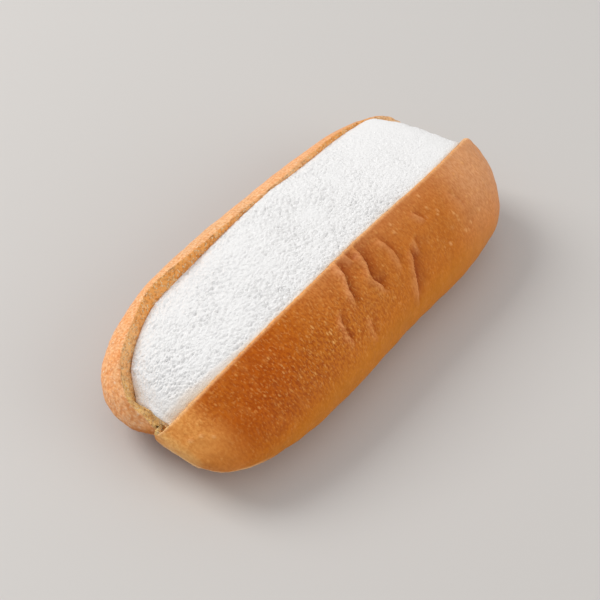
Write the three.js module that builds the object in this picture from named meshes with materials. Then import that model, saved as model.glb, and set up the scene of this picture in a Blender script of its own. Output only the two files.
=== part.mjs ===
// Cream-filled soft roll: an oval milk-bread roll, slit along its top,
// opened like a book and filled with whipped cream.
//
// Units are millimetres, +Z is up and the roll lies along X.
//   -X  the near end, where the two halves of the bread wrap round the cream
//   +X  the far end, where the cream stands proud of the falling bread
//   -Y  the right half of the bread, the bigger and smoother one
//   +Y  the left half, which leans open and shows a band of its cut face
// The origin is the middle of the base, on the surface that the roll lies on.
//
// Two solids: `bread` (both halves, still joined by a web along the bottom)
// and `cream` (the filling, from the foot of the slit up to its crowned top).
//
// Every section across X is a closed loop: foot of the slit, up the right cut
// face, over the right crust, along the underside, up the left crust and back
// down the left cut face. The section is worked out from the run s = -1 .. 1
// along the roll, and shrinks to a short cloven tip at both ends.

import * as THREE from 'three';
import { mergeVertices } from 'three/addons/utils/BufferGeometryUtils.js';

// ---------------------------------------------------------------- dimensions
const RIGHT_REACH = [82.8, 78.3];   // half length of the right half, near and far
const LEFT_REACH = [84.2, 78.7];    // half length of the left half, near and far
const WEB_REACH = [80.2, 75.6];     // half length of the web that joins the halves
const RIGHT_WIDTH = 40.9;           // widest reach of the right half from the slit's line
const LEFT_WIDTH = 33.75;           // widest reach of the left half
const CROWN_SHIFT = 3.0;            // the bread's highest line lies this far to the left
const TOP_RIGHT = 42.3;             // height that the uncut crust would have, right half
const TOP_LEFT = 41.0;              // and left half
const BELT_HEIGHT = 15.0;           // height of the widest line, and of the tips
const BASE_FLATTEN = 1.0;           // how deep the underside is pressed flat
const WEB_THICKNESS = 7.0;          // bread left under the slit

// superellipse exponents: plan outline and top line at the near and far ends
const PLAN_RIGHT = [4.96, 3.14];
const PLAN_LEFT = [2.72, 4.62];
const TOPLINE_RIGHT = [1.83, 3.49];
const TOPLINE_LEFT = [3.04, 2.47];
const UNDERLINE = 2.93;
const SECTION_UP = 1.98;            // section above the belt
const SECTION_DOWN = 3.0;           // section below the belt

// the slit: reach of its two edges from the slit's line, and how they close
const SLIT_RIGHT = 18.45;
const SLIT_LEFT = 23.2;
const SLIT_SHAPE_RIGHT = [2.4, 2.93];
const SLIT_SHAPE_LEFT = [2.65, 5.26];
const SLIT_END = [1.0, 0.971];      // share of the slit's own reach at each tip
const SLIT_TIP_Y = [-7.0, 0.75];    // where the slit leaves the bread at each tip
const SLIT_GAP = [0.7, 0.45];       // half of the gap left at the tips
const TIP_RIGHT = [3.1, 2.5];       // the right half's foremost point, beside the slit
const TIP_LEFT = [9.1, 2.5];        // and the left half's
const LIP_RECEDE = 3.05;            // the left half's near end falls back towards the slit
const SLIT_LIP = 3.0;               // rise of the slit's foot in front of the cream's nose
const FACE_BOW = 0.78;              // below 1 the cut faces belly out at the foot

// gentle unevenness of the real roll: [amount, place along X, spread]
const RIGHT_WAIST = [[-1.66, 8, 22], [0.5, -48, 16], [1.54, 59.5, 9]];
const LEFT_SWELL = [[0.97, -51, 22], [0.3, -80.5, 8]];
const RIGHT_EDGE_WAVE = [[0.76, 11, 24]];
const LEFT_EDGE_WAVE = [[-2.87, -16.3, 24], [-2.68, 16, 22], [3.19, -50, 11]];

// creases pressed into the right crust: start and end as [x, height], depth, width
const CREASES = [
  [[-1.5, 36.5], [-2, 28], 1.3, 3.0],
  [[14.5, 31], [9, 18], 1.1, 2.8],
  [[-10.5, 37], [-13.5, 31], 0.8, 2.4],
];

// the cream
const CREAM_REACH = [79.6, 71.2];   // half length at the near nose and the far end
const CREAM_NOSE_Z = 16.0;          // height of the nose's foremost point
const CREAM_BELOW_RIGHT = 0.5;      // edge of the cream below the right edge of the slit
const CREAM_BELOW_LEFT = 1.2;       // and below the left edge along the middle
const CREAM_CROWN = 1.9;            // rise of its levelled top between the two edges
const CREAM_FAR_LIFT = [0.0, 2.2];  // how it stands proud at the far end, right and left
const CREAM_FAR_SKEW = [1.6, -0.6]; // and how far each side runs on there
const GAP = 0.3;                    // clearance that keeps the two solids apart

// mesh steps
const RINGS = 56;
const FACE_STEPS = 6;
const CRUST_STEPS = 17;
const CREAM_RINGS = 46;
const CREAM_SIDE_STEPS = 5;
const CREAM_TOP_STEPS = 12;

// ---------------------------------------------------------------- small maths
const clamp = (v, a, b) => Math.min(b, Math.max(a, v));
const smooth = (t) => { const c = clamp(t, 0, 1); return c * c * (3 - 2 * c); };
const mix = (a, b, t) => a + (b - a) * t;
// quarter of a superellipse: 1 at r = 0, 0 at r = 1
const round = (r, p, q = p) => Math.pow(Math.max(0, 1 - Math.pow(clamp(Math.abs(r), 0, 1), p)), 1 / q);
const bump = (x, list) => list.reduce((sum, [a, m, w]) => sum + a * Math.exp(-(((x - m) / w) ** 2)), 0);
const end = (s, pair) => (s < 0 ? pair[0] : pair[1]);
const RIGHT = 0, LEFT = 1;

// ---------------------------------------------------------------- bread shape
// side reaches, heights and slit edges at the run s; x is the nominal place
const place = (s) => s * end(s, RIGHT_REACH);

function halfWidth(s, side) {
  const x = place(s);
  const r = Math.abs(s);
  if (side === RIGHT) {
    const w = RIGHT_WIDTH * round(r, end(s, PLAN_RIGHT));
    return w + bump(x, RIGHT_WAIST) * Math.min(w / 20, 1);
  }
  const w = LEFT_WIDTH * round(r, end(s, PLAN_LEFT));
  return w + bump(x, LEFT_SWELL) * Math.min(w / 20, 1);
}

const slitLine = (s) => end(s, SLIT_TIP_Y) * Math.pow(Math.abs(s), 4);

// outermost y of each half; both run to the slit's line at the tips
function outerY(s, side) {
  const w = halfWidth(s, side);
  const full = side === RIGHT ? RIGHT_WIDTH : LEFT_WIDTH;
  const tip = end(s, SLIT_TIP_Y) + (side === RIGHT ? -end(s, TIP_RIGHT) : end(s, TIP_LEFT));
  const k = clamp(w / full, 0, 1);
  return (side === RIGHT ? -w : w) + tip * Math.pow(1 - k, 2);
}

const crownY = (s) => mix(end(s, SLIT_TIP_Y), CROWN_SHIFT, round(s, 3));

function topLine(s, side) {
  const top = side === RIGHT ? TOP_RIGHT : TOP_LEFT;
  const shape = side === RIGHT ? TOPLINE_RIGHT : TOPLINE_LEFT;
  return BELT_HEIGHT + (top - BELT_HEIGHT) * round(s, end(s, shape));
}

const underLine = (s) => BELT_HEIGHT * (1 - round(s, UNDERLINE));

// height of the uncut crust over (s, y)
function crustTop(s, y, side) {
  const yc = crownY(s);
  const edge = y < yc ? outerY(s, RIGHT) : outerY(s, LEFT);
  const q = clamp((y - yc) / (edge - yc || 1e-9), 0, 1);
  return BELT_HEIGHT + (topLine(s, side) - BELT_HEIGHT) * round(q, SECTION_UP);
}

function crustBottom(s, y) {
  const yc = crownY(s);
  const edge = y < yc ? outerY(s, RIGHT) : outerY(s, LEFT);
  const q = clamp((y - yc) / (edge - yc || 1e-9), 0, 1);
  const depth = BELT_HEIGHT - underLine(s) + BASE_FLATTEN * round(s, 2);
  return Math.max(BELT_HEIGHT - depth * round(q, SECTION_DOWN), 0);
}

// edge of the slit on the crust
function slitEdge(s, side) {
  const x = place(s);
  const r = Math.abs(s) * end(s, SLIT_END);
  const tip = end(s, SLIT_TIP_Y);
  const gap = end(s, SLIT_GAP) * Math.pow(Math.abs(s), 4);
  if (side === RIGHT) {
    const e = round(r, end(s, SLIT_SHAPE_RIGHT));
    return (bump(x, RIGHT_EDGE_WAVE) - SLIT_RIGHT) * e + tip * (1 - e) - gap;
  }
  const e = round(r, end(s, SLIT_SHAPE_LEFT));
  return (SLIT_LEFT + bump(x, LEFT_EDGE_WAVE)) * e + tip * (1 - e) + gap;
}

// shift along X of the left half's near end, which falls back towards the slit
function lip(x, y) {
  if (x > -60) return 0;
  const away = smooth((SLIT_TIP_Y[0] + TIP_LEFT[0] + 1.5 - y) / (TIP_LEFT[0] + 2));
  return LIP_RECEDE * away * Math.exp(-(((x + 83) / 5) ** 2));
}

const slitFoot = (s) => crustBottom(s, slitLine(s)) + WEB_THICKNESS * round(s, 4)
  + SLIT_LIP * smooth((-place(s) - 79.5) / 3.3);

// point of a cut face: t = 0 at the foot of the slit, 1 at its edge
function cutFace(s, t, side) {
  const edgeY = slitEdge(s, side);
  const edgeZ = crustTop(s, edgeY, side);
  const footZ = Math.min(slitFoot(s), edgeZ - 0.2);
  const gap = end(s, SLIT_GAP) * Math.pow(Math.abs(s), 4) * (side === RIGHT ? -1 : 1) * Math.min(1, t * 12);
  const footY = slitLine(s) + gap;
  return [footY + (edgeY - footY) * Math.pow(t, FACE_BOW), footZ + (edgeZ - footZ) * t];
}

// the cut face is made in steps, closer together at the foot where it bellies
const faceStep = (k) => Math.pow(k / FACE_STEPS, 1.5);

// y of the stepped cut face at a height
function cutFaceY(s, z, side) {
  for (let k = 1; k <= FACE_STEPS; k++) {
    const [y1, z1] = cutFace(s, faceStep(k), side);
    if (z <= z1 || k === FACE_STEPS) {
      const [y0, z0] = cutFace(s, faceStep(k - 1), side);
      return mix(y0, y1, clamp((z - z0) / (z1 - z0), 0, 1));
    }
  }
  return slitLine(s);
}

// inward press of the creases at (x, z) on the right crust
function creaseDepth(x, z) {
  let d = 0;
  for (const [[x0, z0], [x1, z1], depth, width] of CREASES) {
    const dx = x1 - x0, dz = z1 - z0;
    const len2 = dx * dx + dz * dz;
    const t = ((x - x0) * dx + (z - z0) * dz) / len2;
    const c = clamp(t, 0, 1);
    const away = Math.hypot(x - x0 - c * dx, z - z0 - c * dz);
    d = Math.max(d, depth * Math.exp(-((away / width) ** 2)));
  }
  return d;
}

// outline of one half's crust from the slit's edge to the middle of the underside
function crustOutline(s, side, steps) {
  const yc = crownY(s);
  const edge = outerY(s, side);
  const y0 = slitEdge(s, side);
  const top = topLine(s, side);
  const depth = BELT_HEIGHT - underLine(s) + BASE_FLATTEN * round(s, 2);
  const dense = [];
  const N = 240;
  // over the top: from the slit's edge to the widest line
  const q0 = clamp((y0 - yc) / (edge - yc), 0, 1);
  const a0 = Math.asin(Math.pow(q0, SECTION_UP / 2));
  for (let i = 0; i <= N; i++) {
    const a = mix(a0, Math.PI / 2, i / N);
    const q = Math.pow(Math.sin(a), 2 / SECTION_UP);
    const h = Math.pow(Math.cos(a), 2 / SECTION_UP);
    dense.push([mix(yc, edge, q), BELT_HEIGHT + (top - BELT_HEIGHT) * (i === N ? 0 : h)]);
  }
  // under: from the widest line in to the slit's line
  for (let i = 1; i <= N; i++) {
    const a = (Math.PI / 2) * (1 - i / N);
    const q = Math.pow(Math.sin(a), 2 / SECTION_DOWN);
    const h = Math.pow(Math.cos(a), 2 / SECTION_DOWN);
    const y = mix(yc, edge, q);
    if (side === RIGHT ? y > slitLine(s) : y < slitLine(s)) break;
    dense.push([y, Math.max(BELT_HEIGHT - depth * h, 0)]);
  }
  dense.push([slitLine(s), crustBottom(s, slitLine(s))]);
  // even steps along the outline
  const run = [0];
  for (let i = 1; i < dense.length; i++) {
    run.push(run[i - 1] + Math.hypot(dense[i][0] - dense[i - 1][0], dense[i][1] - dense[i - 1][1]));
  }
  const total = run[run.length - 1];
  const out = [];
  let j = 0;
  for (let k = 1; k <= steps; k++) {
    const want = (total * k) / steps;
    while (j < run.length - 2 && run[j + 1] < want) j++;
    const f = clamp((want - run[j]) / (run[j + 1] - run[j] || 1e-9), 0, 1);
    out.push([mix(dense[j][0], dense[j + 1][0], f), mix(dense[j][1], dense[j + 1][1], f)]);
  }
  return out;
}

// ---------------------------------------------------------------- meshing
// a closed body from rings of equal count; the first and last ring may be
// collapsed, since merging their vertices then closes the body
function loftRings(rings, name, color, roughness, flip = false) {
  const n = rings[0].length;
  const position = [];
  for (const ring of rings) for (const p of ring) position.push(...p);
  const index = [];
  const at = (i, k) => i * n + ((k + n) % n);
  for (let i = 0; i < rings.length - 1; i++) {
    for (let k = 0; k < n; k++) {
      const a = at(i, k), b = at(i, k + 1), c = at(i + 1, k + 1), d = at(i + 1, k);
      if (flip) index.push(a, c, b, a, d, c);
      else index.push(a, b, c, a, c, d);
    }
  }
  let geometry = new THREE.BufferGeometry();
  geometry.setAttribute('position', new THREE.Float32BufferAttribute(position, 3));
  geometry.setIndex(index);
  geometry = mergeVertices(geometry, 1e-4);
  // drop the triangles that collapsed where a ring shrinks to a tip
  const kept = [];
  const idx = geometry.index.array;
  for (let i = 0; i < idx.length; i += 3) {
    const [a, b, c] = [idx[i], idx[i + 1], idx[i + 2]];
    if (a !== b && b !== c && c !== a) kept.push(a, b, c);
  }
  geometry.setIndex(kept);
  geometry.computeVertexNormals();
  const material = new THREE.MeshStandardMaterial({ color, roughness, metalness: 0 });
  const mesh = new THREE.Mesh(geometry, material);
  mesh.name = name;
  return mesh;
}

// ring places: closer together towards the two ends
const spacing = (i, n) => {
  const u = -1 + (2 * i) / n;
  return Math.sin((u * Math.PI) / 2);
};

// ---------------------------------------------------------------- bread
function breadRings() {
  const rings = [];
  for (let i = 0; i <= RINGS; i++) {
    const last = i === 0 || i === RINGS;
    const s = spacing(i, RINGS) * (last ? 0.99985 : 1);
    const reach = { [RIGHT]: end(s, RIGHT_REACH), [LEFT]: end(s, LEFT_REACH) };
    const web = s * end(s, WEB_REACH);
    const ring = [];
    const footY = slitLine(s);
    // foot of the slit
    ring.push([web, footY, Math.min(slitFoot(s), crustTop(s, slitEdge(s, RIGHT), RIGHT) - 0.2)]);
    // right cut face, then right crust
    for (let k = 1; k <= FACE_STEPS; k++) {
      const [y, z] = cutFace(s, faceStep(k), RIGHT);
      ring.push([s * reach[RIGHT], y, z]);
    }
    crustOutline(s, RIGHT, CRUST_STEPS).forEach(([y, z], k) => {
      const x = k === CRUST_STEPS - 1 ? web : s * reach[RIGHT];
      const d = k === CRUST_STEPS - 1 ? 0 : creaseDepth(x, z) * smooth((z - 6) / 8);
      ring.push([x, y + d * 0.85, z - d * 0.5 * smooth((z - 20) / 12)]);
    });
    // left crust from the underside up, then down the left cut face
    const left = crustOutline(s, LEFT, CRUST_STEPS);
    for (let k = CRUST_STEPS - 2; k >= 0; k--) {
      const x = s * reach[LEFT];
      ring.push([x + lip(x, left[k][0]), left[k][0], left[k][1]]);
    }
    for (let k = FACE_STEPS; k >= 1; k--) {
      const [y, z] = cutFace(s, faceStep(k), LEFT);
      const x = s * reach[LEFT];
      ring.push([x + lip(x, y), y, z]);
    }
    rings.push(ring);
  }
  // close both cloven tips: each half to its own point, the web to a third
  for (const [at, sign, e] of [[0, -1, 0], [RINGS, 1, 1]]) {
    const y = SLIT_TIP_Y[e];
    const tipRight = [sign * (RIGHT_REACH[e] + 0.02), y - TIP_RIGHT[e], BELT_HEIGHT];
    const tipLeft = [sign * (LEFT_REACH[e] + 0.02), y + TIP_LEFT[e], BELT_HEIGHT];
    const tipWeb = [sign * (WEB_REACH[e] + 0.02), y, BELT_HEIGHT];
    const n = rings[0].length;
    const half = FACE_STEPS + CRUST_STEPS;
    const tip = [];
    for (let k = 0; k < n; k++) {
      if (k === 0 || k === half) tip.push([...tipWeb]);
      else tip.push(k < half ? [...tipRight] : [...tipLeft]);
    }
    if (at === 0) rings.unshift(tip); else rings.push(tip);
  }
  return rings;
}

// ---------------------------------------------------------------- cream
const creamEnd = (s) => (s < 0
  ? round(s, 24, 2.6)
  : round(s, 18, 2.8));

// s of the bread at the cream's own run
const breadRun = (x) => x / (x < 0 ? RIGHT_REACH[0] : RIGHT_REACH[1]);

// the cream's lowest line: it lifts off the narrow foot of the slit at the ends
const webRun = (x) => x / (x < 0 ? WEB_REACH[0] : WEB_REACH[1]);
const creamFoot = (x) => slitFoot(webRun(x)) + GAP * 1.6 + 1.8 * smooth((Math.abs(x) - 48) / 20);

// underside of the cream: from its foot up to the nose
const creamLow = (x, foot) => (x < 0 ? Math.max(foot, mix(foot, CREAM_NOSE_Z, smooth((-x - 68) / 11))) : foot);

function creamEdge(run, side) {
  const x = run * end(run, CREAM_REACH);
  const s = breadRun(x);
  const edgeZ = crustTop(s, slitEdge(s, side), side);
  const foot = creamFoot(x);
  const below = side === RIGHT
    ? CREAM_BELOW_RIGHT
    : CREAM_BELOW_LEFT + 2.6 * smooth((-x - 5) / 45) + 1.2 * smooth((-x - 74) / 6)
      - 0.5 * Math.exp(-(((x - 4) / 8) ** 2)) + 0.3 * Math.exp(-(((x - 30) / 12) ** 2)) - 0.4 * smooth((x - 42) / 15);
  const cap = creamEnd(run);
  const low = creamLow(x, foot);
  return low + (edgeZ - below - low) * cap + CREAM_FAR_LIFT[side] * smooth((x - 52) / 20) * cap;
}

function creamRings() {
  const rings = [];
  for (let i = 0; i <= CREAM_RINGS; i++) {
    const run = spacing(i, CREAM_RINGS) * (i === 0 || i === CREAM_RINGS ? 0.9999 : 1);
    const x = run * end(run, CREAM_REACH);
    const s = breadRun(x);
    const foot = creamFoot(x);
    const low = creamLow(x, foot);
    const along = [RIGHT, LEFT].map((side) => x + CREAM_FAR_SKEW[side] * smooth((x - 45) / 20));
    const edge = { [RIGHT]: Math.max(creamEdge(run, RIGHT), low + 0.1), [LEFT]: Math.max(creamEdge(run, LEFT), low + 0.1) };
    const inset = (z, side) => {
      const y = cutFaceY(along[side] / end(s, side === RIGHT ? RIGHT_REACH : LEFT_REACH), z, side);
      return side === RIGHT ? y + GAP * 1.25 : y - GAP * 1.25;
    };
    const ring = [];
    const lowR = inset(low, RIGHT), lowL = inset(low, LEFT);
    const midY = (lowR + lowL) / 2;
    ring.push([(along[RIGHT] + along[LEFT]) / 2, midY, low]);
    for (let k = 1; k <= CREAM_SIDE_STEPS; k++) {
      const z = mix(low, edge[RIGHT], k / CREAM_SIDE_STEPS);
      ring.push([along[RIGHT], Math.min(inset(z, RIGHT), midY - 0.02 * k), z]);
    }
    const a = ring[ring.length - 1];
    const zL = edge[LEFT];
    const b = [along[LEFT], Math.max(inset(zL, LEFT), midY + 0.02), zL];
    const rise = CREAM_CROWN * creamEnd(run);
    for (let k = 1; k < CREAM_TOP_STEPS; k++) {
      const v = k / CREAM_TOP_STEPS;
      ring.push([mix(a[0], b[0], v), mix(a[1], b[1], v), mix(a[2], b[2], v) + rise * Math.pow(4 * v * (1 - v), 0.7)]);
    }
    for (let k = CREAM_SIDE_STEPS; k >= 1; k--) {
      const z = mix(low, zL, k / CREAM_SIDE_STEPS);
      ring.push([along[LEFT], Math.max(inset(z, LEFT), midY + 0.02 * k), z]);
    }
    rings.push(ring);
  }
  // close the two ends on one point each
  for (const e of [0, 1]) {
    const ring = e ? rings[rings.length - 1] : rings[0];
    const c = [0, 0, 0];
    for (const p of ring) for (let j = 0; j < 3; j++) c[j] += p[j] / ring.length;
    const cap = ring.map(() => [...c]);
    if (e) rings.push(cap); else rings.unshift(cap);
  }
  return rings;
}

// ---------------------------------------------------------------- assembly
const roll = new THREE.Group();
roll.name = 'cream_filled_soft_roll';
const bread = loftRings(breadRings(), 'bread', 0xc47a35, 0.55);
const cream = loftRings(creamRings(), 'cream', 0xf6f4f1, 0.75, true);

// the roll's own centre over the origin, its underside on z = 0
const box = new THREE.Box3().setFromBufferAttribute(bread.geometry.getAttribute('position'));
box.union(new THREE.Box3().setFromBufferAttribute(cream.geometry.getAttribute('position')));
const middle = box.getCenter(new THREE.Vector3());
for (const mesh of [bread, cream]) {
  mesh.geometry.translate(-middle.x, -middle.y, -box.min.z);
  roll.add(mesh);
}

export default roll;
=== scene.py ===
"""Looks of the cream-filled soft roll: the bread and the cream are built as fine meshes from the same sections as
the CAD solids, with their relief in the mesh, and get procedural materials."""

import math

import bpy
import numpy as np
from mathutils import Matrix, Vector


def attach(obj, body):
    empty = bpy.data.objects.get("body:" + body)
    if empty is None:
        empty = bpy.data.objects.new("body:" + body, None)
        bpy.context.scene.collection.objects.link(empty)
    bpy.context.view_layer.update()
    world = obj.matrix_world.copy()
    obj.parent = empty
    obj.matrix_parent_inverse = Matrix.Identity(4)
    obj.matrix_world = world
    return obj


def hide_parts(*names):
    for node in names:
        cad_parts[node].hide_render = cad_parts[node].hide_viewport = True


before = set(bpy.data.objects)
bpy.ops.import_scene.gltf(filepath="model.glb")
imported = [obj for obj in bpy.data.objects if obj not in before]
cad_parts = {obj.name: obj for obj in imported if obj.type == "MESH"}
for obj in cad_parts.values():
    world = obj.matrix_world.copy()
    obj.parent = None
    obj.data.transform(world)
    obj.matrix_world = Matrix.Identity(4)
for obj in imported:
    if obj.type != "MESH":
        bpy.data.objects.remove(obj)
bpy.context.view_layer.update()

# ---------------------------------------------------------------- shape
# the same sections as the CAD solids, in millimetres, worked out on arrays
RIGHT_REACH, LEFT_REACH, WEB_REACH = (82.8, 78.3), (84.2, 78.7), (80.2, 75.6)
WEB_TIP = (80.2, 77.3)
RIGHT_WIDTH, LEFT_WIDTH, CROWN_SHIFT = 40.9, 33.75, 3.0
TOP_RIGHT, TOP_LEFT, BELT, BASE_FLATTEN, WEB = 42.3, 41.0, 15.0, 1.0, 7.0
PLAN_RIGHT, PLAN_LEFT = (4.96, 3.14), (2.72, 4.62)
TOPLINE_RIGHT, TOPLINE_LEFT, UNDERLINE = (1.83, 3.49), (3.04, 2.47), 2.93
SECTION_UP, SECTION_DOWN = 1.98, 3.0
SLIT_RIGHT, SLIT_LEFT, SLIT_END = 18.45, 23.2, (1.0, 0.971)
SLIT_SHAPE_RIGHT, SLIT_SHAPE_LEFT = (2.4, 2.93), (2.65, 5.26)
SLIT_TIP_Y, SLIT_GAP, FACE_BOW = (-7.0, 0.75), (0.7, 0.45), 0.78
TIP_RIGHT, TIP_LEFT, LIP_RECEDE = (3.1, 2.5), (9.1, 2.5), 3.05
RIGHT_WAIST = ((-1.66, 8, 22), (0.5, -48, 16), (1.54, 59.5, 9))
LEFT_SWELL = ((0.97, -51, 22), (0.3, -80.5, 8))
RIGHT_EDGE_WAVE = ((0.76, 11, 24),)
LEFT_EDGE_WAVE = ((-2.87, -16.3, 24), (-2.68, 16, 22), (3.19, -50, 11))
CREAM_REACH, CREAM_NOSE_Z, SLIT_LIP = (79.6, 71.2), 16.0, 3.0
CREAM_BELOW_RIGHT, CREAM_BELOW_LEFT, CREAM_CROWN, CREAM_FAR_LIFT = 0.5, 1.2, 1.9, (0.0, 2.2)
CREAM_FAR_SKEW = (1.6, -0.6)
SHIFT = np.array([2.75, 3.6535, 0.0])      # the CAD model's own recentring
RIGHT, LEFT = 0, 1


def smooth(t):
    t = np.clip(t, 0, 1)
    return t * t * (3 - 2 * t)


def mix(a, b, t):
    return a + (b - a) * t


def rnd(r, p, q=None):
    q = p if q is None else q
    return np.maximum(0, 1 - np.clip(np.abs(r), 0, 1) ** p) ** (1 / q)


def bumps(x, rows):
    return sum(a * np.exp(-(((x - m) / w) ** 2)) for a, m, w in rows)


def end(s, pair):
    return np.where(s < 0, pair[0], pair[1])


def place(s):
    return s * end(s, RIGHT_REACH)


def half_width(s, side):
    full, plan, rows = (
        (RIGHT_WIDTH, PLAN_RIGHT, RIGHT_WAIST)
        if side == RIGHT
        else (LEFT_WIDTH, PLAN_LEFT, LEFT_SWELL)
    )
    w = full * rnd(s, end(s, plan))
    return w + bumps(place(s), rows) * np.minimum(w / 20, 1)


def slit_line(s):
    return end(s, SLIT_TIP_Y) * np.abs(s) ** 4


def outer_y(s, side):
    w = half_width(s, side)
    full = RIGHT_WIDTH if side == RIGHT else LEFT_WIDTH
    tip = end(s, SLIT_TIP_Y) + (-end(s, TIP_RIGHT) if side == RIGHT else end(s, TIP_LEFT))
    return (-w if side == RIGHT else w) + tip * (1 - np.clip(w / full, 0, 1)) ** 2


def crown_y(s):
    return mix(end(s, SLIT_TIP_Y), CROWN_SHIFT, rnd(s, 3))


def top_line(s, side):
    top, shape = (TOP_RIGHT, TOPLINE_RIGHT) if side == RIGHT else (TOP_LEFT, TOPLINE_LEFT)
    return BELT + (top - BELT) * rnd(s, end(s, shape))


def under_line(s):
    return BELT * (1 - rnd(s, UNDERLINE))


def belly(s):
    return BELT - under_line(s) + BASE_FLATTEN * rnd(s, 2)


def section_q(s, y):
    yc = crown_y(s)
    edge = np.where(y < yc, outer_y(s, RIGHT), outer_y(s, LEFT))
    gap = edge - yc
    return np.clip((y - yc) / np.where(np.abs(gap) < 1e-9, 1e-9, gap), 0, 1)


def crust_top(s, y, side):
    return BELT + (top_line(s, side) - BELT) * rnd(section_q(s, y), SECTION_UP)


def crust_bottom(s, y):
    return np.maximum(BELT - belly(s) * rnd(section_q(s, y), SECTION_DOWN), 0)


def slit_edge(s, side):
    x, tip, r = place(s), end(s, SLIT_TIP_Y), np.abs(s) * end(s, SLIT_END)
    gap = end(s, SLIT_GAP) * np.abs(s) ** 4
    if side == RIGHT:
        e = rnd(r, end(s, SLIT_SHAPE_RIGHT))
        return (bumps(x, RIGHT_EDGE_WAVE) - SLIT_RIGHT) * e + tip * (1 - e) - gap
    e = rnd(r, end(s, SLIT_SHAPE_LEFT))
    return (SLIT_LEFT + bumps(x, LEFT_EDGE_WAVE)) * e + tip * (1 - e) + gap


def lip(x, y, side):
    """Shift along X of the left half's near end, which falls back towards the slit."""
    if np.ndim(side) == 0 and side == RIGHT:
        return 0 * x
    away = smooth((SLIT_TIP_Y[0] + TIP_LEFT[0] + 1.5 - y) / (TIP_LEFT[0] + 2))
    return LIP_RECEDE * away * np.exp(-(((x + 83) / 5) ** 2)) * (x < -60) * (np.asarray(side) == LEFT)


def slit_foot(s):
    return crust_bottom(s, slit_line(s)) + WEB * rnd(s, 4) + SLIT_LIP * smooth((-place(s) - 79.5) / 3.3)


def crumb_foot(s):
    """Foot of the slit as it shows: crumb fills the valley in front of the cream's nose."""
    rim = np.minimum(crust_top(s, slit_edge(s, RIGHT), RIGHT), crust_top(s, slit_edge(s, LEFT), LEFT)) - 2.3
    return mix(slit_foot(s), np.maximum(rim, slit_foot(s)), smooth((-place(s) - 78.4) / 2.2))


def cut_face(s, t, side, crumb=True):
    """(y, z) on a cut face: t 0 at the foot of the slit, 1 at its edge."""
    edge_y = slit_edge(s, side)
    edge_z = crust_top(s, edge_y, side)
    foot_z = np.minimum(crumb_foot(s) if crumb else slit_foot(s), edge_z - 0.2)
    gap = end(s, SLIT_GAP) * np.abs(s) ** 4 * (-1 if side == RIGHT else 1) * np.minimum(1, t * 12)
    foot_y = (foot_line(s) if crumb else slit_line(s)) + gap
    return foot_y + (edge_y - foot_y) * t**FACE_BOW, foot_z + (edge_z - foot_z) * t


def foot_line(s):
    """The slit's lowest line, which runs to the right half's edge in front of the cream's nose."""
    return mix(slit_line(s), slit_edge(s, RIGHT) + 0.9, smooth((-place(s) - 78.4) / 2.2) * smooth((1 - np.abs(s)) / 0.012))


def cut_face_y(s, z, side):
    """y of the slit's own wall at a height, which the cream follows."""
    edge_y = slit_edge(s, side)
    edge_z = crust_top(s, edge_y, side)
    foot_z = np.minimum(slit_foot(s), edge_z - 0.2)
    return cut_face(s, np.clip((z - foot_z) / (edge_z - foot_z), 0, 1), side, crumb=False)[0]


# ---------------------------------------------------------------- noise
def lattice(seed):
    rng = np.random.RandomState(seed)
    perm = rng.permutation(512)
    return np.concatenate([perm, perm, perm]), rng


def perlin(p, scale, seed=0):
    """Gradient noise, about -1 to 1, at points p of N by 3, features about `scale` wide."""
    perm, rng = lattice(seed)
    grad = rng.normal(size=(512, 3))
    grad /= np.linalg.norm(grad, axis=1)[:, None]
    q = p / scale
    i = np.floor(q).astype(int)
    f = q - i
    u = f * f * f * (f * (f * 6 - 15) + 10)
    out = 0
    for dx in (0, 1):
        for dy in (0, 1):
            for dz in (0, 1):
                h = perm[(perm[(perm[(i[:, 0] + dx) & 511] + i[:, 1] + dy) & 511] + i[:, 2] + dz) & 511]
                g = grad[h]
                d = g[:, 0] * (f[:, 0] - dx) + g[:, 1] * (f[:, 1] - dy) + g[:, 2] * (f[:, 2] - dz)
                w = (
                    (u[:, 0] if dx else 1 - u[:, 0])
                    * (u[:, 1] if dy else 1 - u[:, 1])
                    * (u[:, 2] if dz else 1 - u[:, 2])
                )
                out = out + w * d
    return out * 1.7


def fractal(p, scale, octaves, seed=0, gain=0.5):
    total, amp, norm = 0, 1.0, 0
    for o in range(octaves):
        total = total + amp * perlin(p, scale / 2**o, seed + 17 * o)
        norm += amp
        amp *= gain
    return total / norm


def cells(p, scale, seed=0):
    """Distance to the nearest scattered point, in units of scale, and that point's own random number."""
    perm, rng = lattice(seed)
    table = rng.uniform(size=(512, 4))
    q = p / scale
    i = np.floor(q).astype(int)
    best = np.full(len(p), 9.0)
    who = np.zeros(len(p))
    for dx in (-1, 0, 1):
        for dy in (-1, 0, 1):
            for dz in (-1, 0, 1):
                h = perm[(perm[(perm[(i[:, 0] + dx) & 511] + i[:, 1] + dy) & 511] + i[:, 2] + dz) & 511]
                r = table[h]
                d2 = (
                    (i[:, 0] + dx + r[:, 0] - q[:, 0]) ** 2
                    + (i[:, 1] + dy + r[:, 1] - q[:, 1]) ** 2
                    + (i[:, 2] + dz + r[:, 2] - q[:, 2]) ** 2
                )
                near = d2 < best
                best = np.where(near, d2, best)
                who = np.where(near, r[:, 3], who)
    return np.sqrt(best), who


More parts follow.
